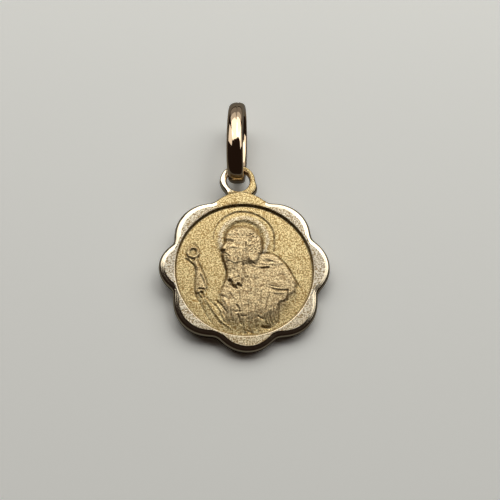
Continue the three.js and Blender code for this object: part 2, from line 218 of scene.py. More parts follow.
# Raised forms of the relief. Each is a closed line of rows x, y and the width of its rounded edge there,
# with the height of its top over the field.
RAISED = {
    "robe": (0.2, [
        (0.9, 1.4, 0.3), (1.75, 1.36, 0.3), (2.4, 1.38, 0.3), (2.95, 1.08, 0.26), (3.4, 0.62, 0.22),
        (3.8, 0.05, 0.2), (4.15, -0.6, 0.2), (4.5, -1.3, 0.3), (4.9, -2.0, 1.2), (5.0, -2.7, 1.8),
        (4.9, -3.4, 2.0), (4.4, -4.4, 2.0), (3.5, -5.5, 1.6), (1.5, -6.5, 1.0), (-1.0, -6.6, 1.0),
        (-2.9, -6.0, 1.0), (-3.1, -5.0, 1.2), (-2.9, -4.0, 1.3), (-2.7, -3.1, 1.1), (-2.45, -2.4, 0.7),
        (-2.12, -1.9, 0.3), (-1.78, -1.15, 0.16), (-1.6, -0.4, 0.14), (-1.52, 0.3, 0.14), (-0.9, 1.2, 0.3),
    ]),
    "staff_sleeve": (0.09, [
        (-3.95, -2.35, 0.2), (-3.5, -2.4, 0.2), (-2.95, -2.95, 0.3), (-2.3, -3.35, 0.5), (-1.5, -3.7, 0.6),
        (-1.2, -4.6, 0.8), (-1.5, -5.6, 0.8), (-2.3, -5.5, 0.4), (-2.95, -4.9, 0.22), (-3.4, -4.1, 0.2),
        (-3.8, -3.3, 0.2),
    ]),
    "far_cloth": (0.13, [
        (-4.15, 0.95, 0.14), (-3.95, 0.3, 0.14), (-3.65, -0.4, 0.14), (-3.42, -1.0, 0.14), (-3.3, -1.6, 0.14),
        (-3.42, -2.0, 0.15), (-3.9, -2.2, 0.3), (-4.3, -2.3, 0.3), (-4.42, -1.5, 0.3), (-4.36, -0.8, 0.2),
        (-4.3, -0.2, 0.14), (-4.42, 0.25, 0.12), (-4.65, 0.55, 0.12), (-4.4, 0.8, 0.15),
    ]),
    "head": (0.34, [
        (1.72, 0.5, 1.0), (1.72, 1.2, 0.6), (1.68, 1.75, 0.34), (1.68, 2.4, 0.4), (1.6, 3.0, 0.5),
        (1.22, 3.62, 0.55), (0.65, 4.02, 0.55), (-0.05, 4.15, 0.55), (-0.75, 4.02, 0.5), (-1.3, 3.66, 0.4),
        (-1.6, 3.2, 0.3), (-1.72, 2.78, 0.26), (-1.68, 2.46, 0.2), (-1.86, 2.08, 0.15), (-2.05, 1.78, 0.13),
        (-1.96, 1.62, 0.12), (-1.8, 1.54, 0.14), (-1.87, 1.34, 0.14), (-1.8, 1.12, 0.14), (-1.78, 0.8, 0.2),
        (-1.2, -0.2, 1.0), (0.0, -0.6, 1.6), (0.9, -0.5, 1.6), (1.5, -0.2, 1.4),
    ]),
    "beard": (0.29, [
        (-1.95, 1.32, 0.14), (-1.93, 0.95, 0.16), (-1.78, 0.45, 0.16), (-1.62, -0.2, 0.14),
        (-1.56, -0.8, 0.12), (-1.42, -1.22, 0.1), (-1.22, -1.12, 0.1), (-1.12, -1.6, 0.1),
        (-0.9, -1.95, 0.12),
        (-0.66, -1.5, 0.12), (-0.45, -1.95, 0.3), (-0.1, -1.6, 0.5), (0.15, -0.9, 0.6), (0.2, 0.0, 0.6),
        (0.15, 0.8, 0.5), (-0.1, 1.35, 0.4), (-0.6, 1.5, 0.4), (-1.3, 1.5, 0.2),
    ]),
    "hood_roll": (0.27, [
        (1.4, 1.1, 0.6), (2.0, 1.34, 0.6), (2.6, 1.2, 0.6), (3.15, 0.82, 0.6), (3.45, 0.45, 0.5),
        (3.0, 0.22, 0.5), (2.4, 0.18, 0.6), (1.85, 0.28, 0.7), (1.4, 0.6, 0.7),
    ]),
    "forearm": (0.25, [
        (2.12, -2.2, 0.2), (2.8, -2.12, 0.14), (3.62, -2.12, 0.12), (3.6, -2.75, 0.14), (3.4, -3.08, 0.2),
        (2.9, -3.3, 0.2), (2.74, -3.9, 0.14), (2.7, -4.75, 0.14), (2.35, -5.2, 0.14), (1.8, -5.15, 0.14),
        (1.55, -4.75, 0.14), (1.5, -4.25, 0.16), (1.62, -3.6, 0.18), (1.82, -2.8, 0.18),
    ]),
}

# Folds and ridges laid over the raised forms, and grooves cut into them: a start, a point that the middle
# bends towards, an end, half the width at both ends, and the height, which is below zero for a groove.
STROKES = {
    "halo_line": [
        (-2.75, 2.75, -2.65, 4.0, -1.9, 4.66, 0.07, 0.08, -0.09),
        (-1.9, 4.66, -1.2, 5.3, -0.3, 5.42, 0.08, 0.09, -0.13),
        (-0.3, 5.42, 1.0, 5.45, 1.9, 4.66, 0.09, 0.09, -0.13),
        (1.9, 4.66, 2.75, 3.9, 2.75, 2.9, 0.09, 0.09, -0.14),
        (2.75, 2.9, 2.75, 2.3, 2.66, 1.55, 0.09, 0.08, -0.15),
        (0.3, 5.05, 1.0, 4.95, 1.75, 4.35, 0.05, 0.07, -0.07),
        (1.75, 4.35, 1.95, 4.2, 2.15, 3.8, 0.07, 0.05, -0.07),
    ],
    "shoulder_line": [
        (1.7, 1.42, 2.45, 1.5, 3.0, 1.05, 0.06, 0.08, -0.05),
        (3.0, 1.05, 3.6, 0.5, 3.95, -0.2, 0.08, 0.1, -0.1),
        (3.95, -0.2, 4.3, -0.9, 4.8, -1.85, 0.1, 0.06, -0.1),
    ],
    "chest_line": [
        (-1.5, 0.35, -1.6, -0.4, -1.62, -0.8, 0.08, 0.08, -0.1),
        (-1.62, -0.8, -1.75, -1.4, -2.15, -2.15, 0.08, 0.06, -0.1),
    ],
    "hood_front": [
        (0.3, 1.85, 0.36, 0.55, 0.75, 0.22, 0.13, 0.13, 0.055),
        (0.75, 0.22, 1.2, -0.02, 2.1, 0.18, 0.13, 0.1, 0.035),
        (0.12, 1.75, 0.14, 0.7, 0.45, 0.1, 0.06, 0.07, -0.035),
        (0.62, 1.7, 0.72, 1.2, 0.62, 0.8, 0.07, 0.07, -0.02),
    ],
    "hood_slit": [
        (1.42, -0.03, 1.75, -0.06, 2.1, 0.0, 0.07, 0.07, -0.26),
    ],
    "hood_roll_edge": [
        (1.5, 0.4, 2.4, 0.28, 3.45, 0.42, 0.13, 0.13, 0.045),
        (1.62, 0.62, 1.85, 0.5, 2.3, 0.52, 0.07, 0.05, -0.05),
    ],
    "shoulder_folds": [
        (2.15, -0.55, 2.02, -0.9, 2.1, -1.5, 0.1, 0.08, 0.05),
        (3.3, -0.1, 3.75, -0.8, 4.05, -1.7, 0.16, 0.14, 0.02),
    ],
    "cuff": [
        (2.2, -1.66, 2.55, -1.82, 2.98, -1.78, 0.07, 0.06, -0.1),
        (2.3, -1.92, 2.8, -2.14, 3.66, -2.08, 0.08, 0.08, -0.13),
        (3.66, -2.12, 3.72, -2.6, 3.6, -3.05, 0.08, 0.07, -0.13),
        (2.1, -2.2, 2.6, -2.35, 3.3, -2.35, 0.12, 0.08, 0.07),
        (2.05, -2.5, 1.8, -3.1, 1.62, -3.9, 0.08, 0.08, -0.12),
    ],
    "forearm_folds": [
        (2.35, -2.4, 2.2, -3.0, 2.15, -3.5, 0.1, 0.08, 0.05),
        (2.75, -2.4, 2.7, -2.9, 2.5, -3.6, 0.08, 0.08, -0.03),
    ],
    "elbow": [
        (4.32, -2.2, 4.38, -2.6, 4.28, -3.2, 0.09, 0.07, -0.07),
        (2.86, -3.4, 2.82, -4.3, 2.7, -4.95, 0.08, 0.08, -0.09),
    ],
    "fingers": [
        (1.75, -4.0, 1.55, -4.5, 1.88, -5.05, 0.09, 0.08, 0.09),
        (1.98, -3.85, 1.78, -4.5, 2.08, -5.08, 0.09, 0.08, 0.09),
        (2.22, -3.8, 2.1, -4.5, 2.3, -5.02, 0.08, 0.07, 0.09),
        (2.48, -3.7, 2.38, -4.4, 2.52, -4.85, 0.09, 0.08, 0.08),
        (1.88, -4.05, 1.68, -4.5, 1.98, -5.1, 0.04, 0.04, -0.06),
        (2.08, -4.0, 1.93, -4.5, 2.17, -5.05, 0.04, 0.04, -0.06),
    ],
    "under_hand": [
        (1.35, -5.28, 1.65, -5.42, 1.98, -5.36, 0.12, 0.12, -0.28),
        (1.0, -4.4, 1.2, -4.5, 1.42, -4.62, 0.08, 0.08, -0.12),
    ],
    "robe_folds": [
        (-1.95, -2.6, -1.75, -2.65, -1.6, -2.75, 0.08, 0.05, -0.09),
        (-2.42, -3.0, -2.3, -3.2, -2.05, -3.42, 0.1, 0.08, -0.16),
        (-2.0, -3.55, -1.85, -3.75, -1.72, -3.95, 0.09, 0.06, -0.12),
        (-1.9, -2.9, -1.4, -3.4, -1.5, -4.6, 0.12, 0.12, 0.07),
        (-1.15, -3.0, -1.3, -3.6, -1.15, -4.4, 0.12, 0.12, 0.09),
        (-0.85, -3.35, -0.62, -3.6, -0.55, -3.95, 0.07, 0.08, -0.16),
        (-0.55, -3.95, -0.75, -4.0, -1.0, -3.95, 0.07, 0.05, -0.12),
        (-0.72, -4.2, -0.62, -4.6, -0.48, -5.05, 0.08, 0.06, -0.13),
        (-0.45, -4.35, -0.2, -4.4, 0.05, -4.35, 0.07, 0.05, -0.1),
        (-0.25, -3.3, -0.25, -4.4, -0.1, -5.7, 0.14, 0.14, 0.09),
        (0.2, -3.0, 0.15, -4.4, 0.2, -5.5, 0.07, 0.08, -0.08),
        (0.5, -3.1, 0.55, -4.4, 0.5, -5.8, 0.14, 0.14, 0.09),
        (0.82, -3.3, 0.78, -4.2, 0.8, -5.5, 0.07, 0.07, -0.08),
        (1.05, -3.2, 1.12, -4.5, 1.0, -5.7, 0.12, 0.12, 0.08),
        (0.1, -5.62, 0.25, -5.78, 0.45, -5.8, 0.09, 0.06, -0.14),
        (0.0, -2.1, -0.1, -2.6, -0.1, -3.2, 0.12, 0.1, 0.06),
        (0.5, -1.2, 0.6, -2.2, 0.5, -3.0, 0.14, 0.14, 0.06),
        (1.1, -0.5, 1.2, -1.6, 1.1, -2.9, 0.14, 0.16, 0.06),
        (0.8, -0.8, 0.85, -1.7, 0.8, -2.8, 0.07, 0.08, -0.06),
        (-1.3, -2.1, -1.2, -2.4, -0.9, -2.8, 0.1, 0.1, 0.06),
        (-0.6, -2.2, -0.5, -2.6, -0.55, -3.1, 0.07, 0.07, -0.08),
        (1.35, -2.2, 1.3, -3.2, 1.25, -4.1, 0.08, 0.08, -0.07),
    ],
    "sleeve_folds": [
        (-3.45, -2.75, -3.0, -3.6, -2.1, -4.7, 0.13, 0.18, 0.045),
        (-3.3, -3.3, -2.9, -4.2, -2.2, -5.0, 0.1, 0.14, -0.03),
        (-2.7, -3.3, -2.3, -3.9, -1.9, -4.2, 0.1, 0.14, -0.035),
        (-3.35, -2.62, -3.0, -3.05, -2.6, -3.4, 0.07, 0.07, -0.12),
        (-2.6, -3.1, -2.2, -3.6, -1.9, -4.6, 0.1, 0.12, 0.08),
        (-4.0, -3.0, -3.6, -4.0, -2.85, -5.05, 0.08, 0.07, -0.04),
        (-2.3, -4.6, -1.9, -5.0, -1.4, -5.3, 0.1, 0.1, 0.06),
    ],
    "cloth_folds": [
        (-3.9, -0.6, -3.6, -1.1, -3.42, -1.85, 0.08, 0.09, -0.13),
        (-4.1, 0.2, -4.0, -0.8, -3.95, -1.8, 0.12, 0.16, 0.06),
        (-4.15, 0.85, -3.75, 0.1, -3.42, -0.9, 0.07, 0.07, -0.07),
        (-3.42, -0.9, -3.2, -1.4, -3.35, -1.9, 0.07, 0.06, -0.07),
    ],
    "staff_hand": [
        (-4.02, -1.9, -3.8, -1.82, -3.55, -1.95, 0.09, 0.09, -0.2),
        (-3.85, -2.15, -3.65, -2.3, -3.55, -2.65, 0.09, 0.08, -0.16),
        (-4.02, -2.15, -3.9, -2.3, -3.8, -2.55, 0.12, 0.1, 0.14),
        (-3.62, -2.15, -3.45, -2.3, -3.4, -2.6, 0.09, 0.08, 0.12),
        (-4.25, -2.5, -4.15, -2.8, -4.0, -3.0, 0.08, 0.07, -0.08),
    ],
    "crook_stem": [
        (-5.2, 0.9, -4.85, 0.72, -4.45, 0.3, 0.09, 0.08, -0.12),
        (-4.98, 1.4, -4.95, 0.95, -4.6, 0.6, 0.07, 0.07, 0.1),
        (-4.35, 0.95, -4.3, 0.5, -4.2, 0.1, 0.09, 0.08, 0.08),
        (-4.6, 0.95, -4.45, 0.85, -4.3, 0.9, 0.06, 0.06, -0.08),
        (-4.45, 0.3, -4.22, -0.2, -4.32, -0.75, 0.07, 0.08, -0.06),
        (-4.5, 2.3, -4.1, 2.2, -3.95, 1.6, 0.06, 0.07, -0.07),
        (-3.95, 1.6, -3.95, 1.3, -4.1, 0.95, 0.06, 0.06, -0.05),
    ],
    "cloth_edge": [
        (-4.32, -0.75, -4.4, -1.6, -4.35, -2.3, 0.08, 0.08, -0.06),
        (-4.35, -2.3, -4.3, -2.7, -4.15, -3.0, 0.08, 0.07, -0.06),
    ],
    "face_forms": [
        (-1.66, 2.66, -1.4, 2.78, -0.95, 2.62, 0.1, 0.1, 0.07),
        (-1.55, 2.42, -1.3, 2.44, -1.0, 2.36, 0.1, 0.08, -0.07),
        (-1.48, 2.3, -1.28, 2.36, -1.05, 2.27, 0.05, 0.05, 0.06),
        (-1.48, 2.2, -1.28, 2.16, -1.08, 2.22, 0.04, 0.04, -0.05),
        (-1.68, 2.45, -1.82, 2.1, -1.98, 1.84, 0.08, 0.08, 0.06),
        (-1.8, 1.72, -1.66, 1.8, -1.58, 1.66, 0.06, 0.05, 0.07),
        (-1.62, 1.85, -1.5, 1.75, -1.5, 1.55, 0.06, 0.06, -0.06),
        (-1.25, 1.95, -0.95, 2.0, -0.7, 1.85, 0.2, 0.2, 0.06),
        (-1.84, 1.48, -1.6, 1.42, -1.3, 1.12, 0.1, 0.08, 0.1),
        (-1.82, 1.32, -1.7, 1.27, -1.58, 1.24, 0.05, 0.04, -0.1),
        (-1.78, 1.2, -1.68, 1.14, -1.6, 1.12, 0.06, 0.05, 0.05),
    ],
    "ear": [
        (0.0, 2.42, 0.3, 2.5, 0.28, 2.12, 0.08, 0.08, 0.1),
        (0.28, 2.12, 0.26, 1.9, 0.05, 1.78, 0.08, 0.07, 0.1),
        (0.02, 2.3, -0.04, 2.1, 0.02, 1.85, 0.06, 0.06, 0.06),
        (0.14, 2.28, 0.18, 2.1, 0.1, 1.92, 0.06, 0.05, -0.07),
    ],
}

# Halo and the head of the crozier, which are rings in the field
HALO_X, HALO_Y = 0.0, 2.7
HALO_RADIUS = 2.72
HALO_CREST = 2.0
HALO_FOOT = 1.48
HALO_RISE = 0.11
HALO_DISH = 0.23
HALO_DISH_POWER = 1.6
CROOK_X, CROOK_Y = -4.5, 1.5
CROOK_RADIUS = 0.45
CROOK_HALF = 0.16
CROOK_HEIGHT = 0.12

# Hair in rows over the head, curls behind it, and locks in the beard with gaps between their ends. Angles
# are in degrees, but HAIR_SWEEP, by which a stroke bends, is in radians. HAIR_GAP is that of a row 1 mm
# from the middle of the head.
HAIR_SEED = 11
SKULL_X, SKULL_Y = -0.05, 2.5
HAIR_REACHES = (1.62, 1.4, 1.18, 0.96, 0.74, 0.52)
HAIR_FROM, HAIR_TO, HAIR_GAP = 8, 158, 13
HAIR_STRAY = 3
HAIR_LENGTH = (0.16, 0.28)
HAIR_SWEEP = (0.08, 0.2)
HAIR_HALVES = (0.06, 0.05)
HAIR_HEIGHT = 0.05
CURL_PLACES_X = np.arange(0.45, 1.5, 0.26)
CURL_PLACES_Y = np.arange(1.35, 3.3, 0.26)
CURL_HALF = 0.13
CURL_STRAY = 0.08
CURL_RIDGE_HALF = 0.07
CURL_RIDGE_HEIGHT = 0.05
CURL_GROOVE_HALF = 0.05
CURL_GROOVE_DEPTH = 0.06
LOCK_PLACES_X = np.arange(-1.65, 0.15, 0.17)
LOCK_PLACES_Y = (1.15, 0.6, 0.0, -0.6, -1.15)
LOCK_SLANT = 0.05
LOCK_UP, LOCK_DOWN = 0.32, 0.36
LOCK_STRAY_X, LOCK_STRAY_Y = 0.06, 0.15
LOCK_SWAY = 0.12
LOCK_END = (-0.06, 0.1)
LOCK_HALVES = (0.08, 0.06)
LOCK_HEIGHT = 0.06
BEARD_GAPS = ((-1.3, -1.25, 0.13), (-1.12, -1.58, 0.15), (-0.88, -1.75, 0.12), (-0.52, -1.62, 0.12))
BEARD_GAP_DEPTH = 0.22

# Dents: lengths of their waves and depths in the raised work, how many directions each has, how far a length
# strays, and the share of them in the plain field
DENT_SEED = 5
DENT_WAVES = ((1.1, 0.005), (0.45, 0.003), (0.22, 0.003))
DENT_DIRECTIONS = 7
DENT_SPREAD = (0.8, 1.25)
DENTS_IN_FIELD = 0.4

# Wear and edges. Strokes are worn to a share of their height. The foot of the figure runs out over
# LOWER_FADE from the rim, fully from LOWER_FADE_FULL below the middle, and all of the relief over
# RELIEF_FADE. BLEND is the height of the fillet between two forms. Edges wider than SOFT_EDGE_FROM begin to
# run out softly, and what is higher than RAISED_FROM begins to have the raised work's finish.
STROKE_SHARE = 0.6
LOWER_FADE = 2.2
LOWER_FADE_FULL = 4
RELIEF_FADE = 0.4
BLEND = 0.03
SOFT_EDGE_FROM, SOFT_EDGE_SPAN = 0.35, 0.3
RAISED_FROM, RAISED_SPAN = 0.04, 0.14

# The relief is worked out once on a square grid, and every point of the disc takes its height from that. A
# groove is what lies lower than the mean round it.
GRID_STEP = 0.03
GRID_HALF = 6.12
GROOVE_REACH = 4
GROOVE_DEPTH = 0.032
GROOVE_POWER = 1.3


def raised_height(x, y, height, rows):
    """Height of a raised form: narrow edges are quarter rounds, and wide ones run out softly."""
    line = smooth_closed_line(rows)
    found = np.zeros(x.shape)
    near = near_box(x, y, line, 0)
    px, py = x[near], y[near]
    distance, along = nearest_on_line(px, py, line)
    edge = np.interp(along, np.linspace(0, 1, len(line)), line[:, 2])
    soft = np.clip((edge - SOFT_EDGE_FROM) / SOFT_EDGE_SPAN, 0, 1)
    profile = (1 - soft) * quarter_round(distance / edge) + soft * ease(distance / edge)
    found[near] = np.where(inside_of(px, py, line), height * profile, 0)
    return found


def stroke_height(x, y, row):
    """The points near a stroke, and its height there."""
    ax, ay, bend_x, bend_y, bx, by, half_a, half_b, height = row
    t = np.linspace(0, 1, LINE_STEPS + 1)[:, None]
    line = (1 - t) ** 2 * (ax, ay) + 2 * t * (1 - t) * np.array((bend_x, bend_y)) + t ** 2 * (bx, by)
    near = near_box(x, y, line, max(half_a, half_b))
    distance, along = nearest_on_line(x[near], y[near], line)
    half = half_a + (half_b - half_a) * along
    return near, height * (1 - np.clip(distance / half, 0, 1) ** 2) ** 2


def halo_height(x, y):
    """A soft ring that rises to a crest and falls into a dish round the head."""
    reach = np.hypot(x - HALO_X, y - HALO_Y)
    rise = HALO_RISE * ease((HALO_RADIUS - reach) / (HALO_RADIUS - HALO_CREST))
    into_dish = np.clip((HALO_CREST - reach) / (HALO_CREST - HALO_FOOT), 0, 1)
    return np.where(reach < HALO_RADIUS, rise - HALO_DISH * into_dish ** HALO_DISH_POWER, 0)


def crook_height(x, y):
    """The round bar of the crozier's head, bent to a ring."""
    reach = np.hypot(x - CROOK_X, y - CROOK_Y)
    return CROOK_HEIGHT * quarter_round(1 - np.abs(reach - CROOK_RADIUS) / CROOK_HALF)


def higher_of(a, b):
    """The higher of two heights, with a small fillet where they meet."""
    overlap = np.maximum(BLEND - np.abs(a - b), 0) / BLEND
    return np.maximum(a, b) + overlap * overlap * BLEND / 4


def hair_on_head(draw):
    """Short strokes that follow the head, with about two grooves to each ridge."""
    rows = []
    for reach in HAIR_REACHES:
        for angle in np.arange(HAIR_FROM, HAIR_TO, HAIR_GAP / reach):
            turn = math.radians(angle + draw.uniform(-HAIR_STRAY, HAIR_STRAY))
            inner = reach - draw.uniform(*HAIR_LENGTH)
            sweep = turn + draw.uniform(*HAIR_SWEEP)
            sign = draw.choice((-1, -1, 1))
            middle = (reach + inner) / 2
            rows.append((
                SKULL_X + inner * math.cos(turn), SKULL_Y + inner * math.sin(turn),
                SKULL_X + middle * math.cos(sweep), SKULL_Y + middle * math.sin(sweep),
                SKULL_X + reach * math.cos(turn), SKULL_Y + reach * math.sin(turn),
                *HAIR_HALVES, sign * HAIR_HEIGHT))
    return rows


def curls_behind_head(draw):
    """Curls, each a ridge that bends one way and a groove that bends the other."""
    rows = []
    for place_y in CURL_PLACES_Y:
        for place_x in CURL_PLACES_X:
            x = place_x + draw.uniform(-CURL_STRAY, CURL_STRAY)
            y = place_y + draw.uniform(-CURL_STRAY, CURL_STRAY)
            turn = draw.uniform(0, 2 * math.pi)
            dx, dy = CURL_HALF * math.cos(turn), CURL_HALF * math.sin(turn)
            for side, half, height in (
                    (1, CURL_RIDGE_HALF, CURL_RIDGE_HEIGHT),
                    (-1, CURL_GROOVE_HALF, -CURL_GROOVE_DEPTH)):
                rows.append((
                    x - dx, y - dy, x - side * dy, y + side * dx, x + dx, y + dy, half, half, height))
    return rows


def locks_in_beard(draw):
    """Long strokes down the beard, some of them ridges and some grooves."""
    rows = []
    for place_y in LOCK_PLACES_Y:
        for place_x in LOCK_PLACES_X:
            slant = LOCK_SLANT * (LOCK_PLACES_Y[0] - place_y)
            x = place_x + slant + draw.uniform(-LOCK_STRAY_X, LOCK_STRAY_X)
            y = place_y + draw.uniform(-LOCK_STRAY_Y, LOCK_STRAY_Y)
            sway = draw.uniform(-LOCK_SWAY, LOCK_SWAY)
            end = x + draw.uniform(*LOCK_END)
            height = draw.choice((-LOCK_HEIGHT, LOCK_HEIGHT))
            rows.append((x, y + LOCK_UP, x + sway, y, end, y - LOCK_DOWN, *LOCK_HALVES, height))
    return rows


def gaps_in_beard():
    """Deep notches between the ends of the locks."""
    return [(x - size, y + size / 2, x, y, x + size, y - size, size, size, -BEARD_GAP_DEPTH)
            for x, y, size in BEARD_GAPS]


def dents(x, y):
    """Soft unevenness of the struck blank, as a height."""
    draw = np.random.default_rng(DENT_SEED)
    height = np.zeros(x.shape)
    for wave_mm, depth in DENT_WAVES:
        for _ in range(DENT_DIRECTIONS):
            turn, phase = draw.uniform(0, 2 * math.pi, 2)
            pull = 2 * math.pi / (wave_mm * draw.uniform(*DENT_SPREAD))
            height += depth / 2 * np.sin(pull * (x * math.cos(turn) + y * math.sin(turn)) + phase)
    return height


def blurred(height, reach):
    """The mean over a square neighbourhood, taken twice so that it is nearly round."""
    for axis in (0, 1, 0, 1):
        height = sum(np.roll(height, step, axis) for step in range(-reach, reach + 1)) / (2 * reach + 1)
    return height


def all_strokes():
    """Every fold, groove and hair of the relief, in the order in which they are laid on."""
    draw = np.random.default_rng(HAIR_SEED)
    drawn = [row for rows in STROKES.values() for row in rows]
    return drawn + hair_on_head(draw) + curls_behind_head(draw) + locks_in_beard(draw) + gaps_in_beard()


def relief_grid():
    """Height over the field, how much of it is raised work and how much lies in a groove."""
    steps = np.arange(-GRID_HALF, GRID_HALF + GRID_STEP, GRID_STEP)
    x, y = np.meshgrid(steps, steps, indexing="ij")
    form = crook_height(x, y)
    for top, rows in RAISED.values():
        form = higher_of(form, raised_height(x, y, top, rows))
    rim_gap = FIELD_RADIUS - WALL_WIDTH - np.hypot(x, y)
    form *= 1 - (1 - ease(rim_gap / LOWER_FADE)) * ease(-y / LOWER_FADE_FULL)
    raised = ease((form - RAISED_FROM) / RAISED_SPAN)
    height = higher_of(halo_height(x, y), form)
    for row in all_strokes():
        near, rise = stroke_height(x, y, row)
        height[near] += STROKE_SHARE * rise
    height = blurred(height + dents(x, y) * (DENTS_IN_FIELD + (1 - DENTS_IN_FIELD) * raised), 1)
    height *= ease(rim_gap / RELIEF_FADE)
    groove = np.clip((blurred(height, GROOVE_REACH) - height) / GROOVE_DEPTH, 0, 1) ** GROOVE_POWER
    return np.stack([height, raised, groove])


RELIEF = relief_grid()


def relief_at(x, y):
    """Height, raised share and groove share at places of the field."""
    last = RELIEF.shape[1] - 1
    at_x = np.clip((np.asarray(x) + GRID_HALF) / GRID_STEP, 0, last)
    at_y = np.clip((np.asarray(y) + GRID_HALF) / GRID_STEP, 0, last)
    i = np.minimum(at_x.astype(int), last - 1)
    j = np.minimum(at_y.astype(int), last - 1)
    u, v = at_x - i, at_y - j
    return ((1 - u) * (1 - v) * RELIEF[:, i, j] + u * (1 - v) * RELIEF[:, i + 1, j]
            + (1 - u) * v * RELIEF[:, i, j + 1] + u * v * RELIEF[:, i + 1, j + 1])


# Outline of the disc

Lobe = namedtuple("Lobe", "middle half centre radius edge")


def circle_through(a, b, c):
    """Middle and radius of the circle through three points."""
    d = 2 * (a[0] * (b[1] - c[1]) + b[0] * (c[1] - a[1]) + c[0] * (a[1] - b[1]))
    aa, bb, cc = (p[0] ** 2 + p[1] ** 2 for p in (a, b, c))
    x = (aa * (b[1] - c[1]) + bb * (c[1] - a[1]) + cc * (a[1] - b[1])) / d
    y = (aa * (c[0] - b[0]) + bb * (a[0] - c[0]) + cc * (b[0] - a[0])) / d
    return (x, y), math.hypot(a[0] - x, a[1] - y)


def polar(angle, radius):
    return radius * math.cos(math.radians(angle)), radius * math.sin(math.radians(angle))


def turns_to(angle, reference):
    """Degrees from a reference to an angle, from -180 to 180."""
    return (angle - reference + 180) % 360 - 180


def shaped_lobes():
    """The lobes as arcs, each with its middle angle and half of the angle that it takes."""
    made = []
    for k, (angle, notch_reach, crown_reach, edge) in enumerate(LOBES):
        next_angle, next_reach = LOBES[(k + 1) % len(LOBES)][:2]
        end = next_angle + (360 if next_angle < angle else 0)
        middle = (angle + end) / 2
        centre, radius = circle_through(
            polar(angle, FIELD_RADIUS + notch_reach * RIM_WIDTH),
            polar(middle, FIELD_RADIUS + crown_reach * RIM_WIDTH),
            polar(end, FIELD_RADIUS + next_reach * RIM_WIDTH))
        made.append(Lobe(middle, (end - angle) / 2, centre, radius, edge))
    return made


SHAPED_LOBES = shaped_lobes()


def lobe_number(angle):
    for number, lobe in enumerate(SHAPED_LOBES):
        if abs(turns_to(angle, lobe.middle)) <= lobe.half + TINY:
            return number
    raise ValueError(f"no lobe at {angle} degrees")


def edge_share(angle):
    """Size of the rounded edge at an angle, as a share that runs from one lobe's to the next one's."""
    number = lobe_number(angle)
    lobe = SHAPED_LOBES[number]
    turn = turns_to(angle, lobe.middle)
    beside = SHAPED_LOBES[(number + (1 if turn > 0 else -1)) % len(SHAPED_LOBES)]
    return lobe.edge + ease(abs(turn) / lobe.half) / 2 * (beside.edge - lobe.edge)


def outline_reach(angle, margin):
    """How far the disc reaches at an angle, set in by a margin. The notches between the arcs are rounded, and
    a margin never takes more of the rim than leaves LEAST_FLAT of it."""
    lobe = SHAPED_LOBES[lobe_number(angle)]
    turn = turns_to(angle, lobe.middle)
    from_notch = 1 - abs(turn) / lobe.half
    rounded = (math.hypot(from_notch, NOTCH_ROUNDING) - NOTCH_ROUNDING) / (
        math.hypot(1, NOTCH_ROUNDING) - NOTCH_ROUNDING)
    used = math.radians(lobe.middle + math.copysign(lobe.half * (1 - rounded), turn))
    centre_x, centre_y = lobe.centre
    along = centre_x * math.cos(used) + centre_y * math.sin(used)
    across = centre_x * math.sin(used) - centre_y * math.cos(used)
    full = along + math.sqrt(lobe.radius ** 2 - across ** 2)
    set_in = along + math.sqrt(max((lobe.radius - margin) ** 2 - across ** 2, 0))
    return max(set_in, full - (1 - LEAST_FLAT) * (full - FIELD_RADIUS))


# Meshes

FIELD_FINISH, POLISHED_FINISH, BACK_FINISH = range(3)

# Rings over the lip of the field: the finish of the band that ends there, how far the ring lies outside the
# field's radius, and how far below the rim.
LIP_RINGS = (
    (FIELD_FINISH, -0.02, LIP_WIDTH),
    (FIELD_FINISH, 0.015, 0.01),
    (POLISHED_FINISH, LIP_WIDTH, 0),
)


def band(inner, outer):
    """Triangles between two closed rings, which may differ in their number of points."""
    faces = []
    i = j = 0
    while i < len(inner) or j < len(outer):
        a, b = inner[i % len(inner)], outer[j % len(outer)]
        if (j + 1) * len(inner) <= (i + 1) * len(outer):
            j += 1
            faces.append((a, b, outer[j % len(outer)]))
        else:
            i += 1
            faces.append((a, b, inner[i % len(inner)]))
    return faces


def closed_tube(sections):
    """Points and faces of a tube that runs round through its sections and back to the first one."""
    sides = len(sections[0])
    faces = []
    for s in range(len(sections)):
        here, there = s * sides, (s + 1) % len(sections) * sides
        for k in range(sides):
            after = (k + 1) % sides
            faces.append((here + k, there + k, there + after, here + after))
    return [p for section in sections for p in section], faces


def mesh_object(name, points, faces, materials, finishes=None):
    """An object from points in millimetres, with a material number for each face."""
    mesh = bpy.data.meshes.new(name)
    mesh.from_pydata([tuple(MM * c for c in p) for p in points], [], faces)
    for material in materials:
        mesh.materials.append(material)
    if finishes is not None:
        mesh.polygons.foreach_set("material_index", np.array(finishes, np.int32))
    mesh.polygons.foreach_set("use_smooth", np.ones(len(mesh.polygons), bool))
    mesh.update()
    obj = bpy.data.objects.new(name, mesh)
    bpy.context.scene.collection.objects.link(obj)
    return obj


def edge_profile():
    """The rim's way to the outer edge, as rows of how far in from the outline and how far below the rim."""
    lean = math.radians(SHOULDER_LEAN)
    arc = OUTER_WIDTH / (1 - math.sin(lean))
    shoulder_drop = SHOULDER_WIDTH * math.tan(lean) / 2
    profile = []
    for share in np.linspace(0, 1, SHOULDER_STEPS + 1):
        margin = OUTER_WIDTH + BURR_WIDTH + SHOULDER_WIDTH * (1 - share)
        profile.append((margin, shoulder_drop * share ** 2))
    burr_drop = shoulder_drop - BURR_HEIGHT
    profile.append((OUTER_WIDTH, burr_drop))
    for turn in np.linspace(lean, math.pi / 2, OUTER_STEPS + 1)[1:]:
        profile.append((arc * (1 - math.sin(turn)), burr_drop + arc * (math.cos(lean) - math.cos(turn))))
    return profile


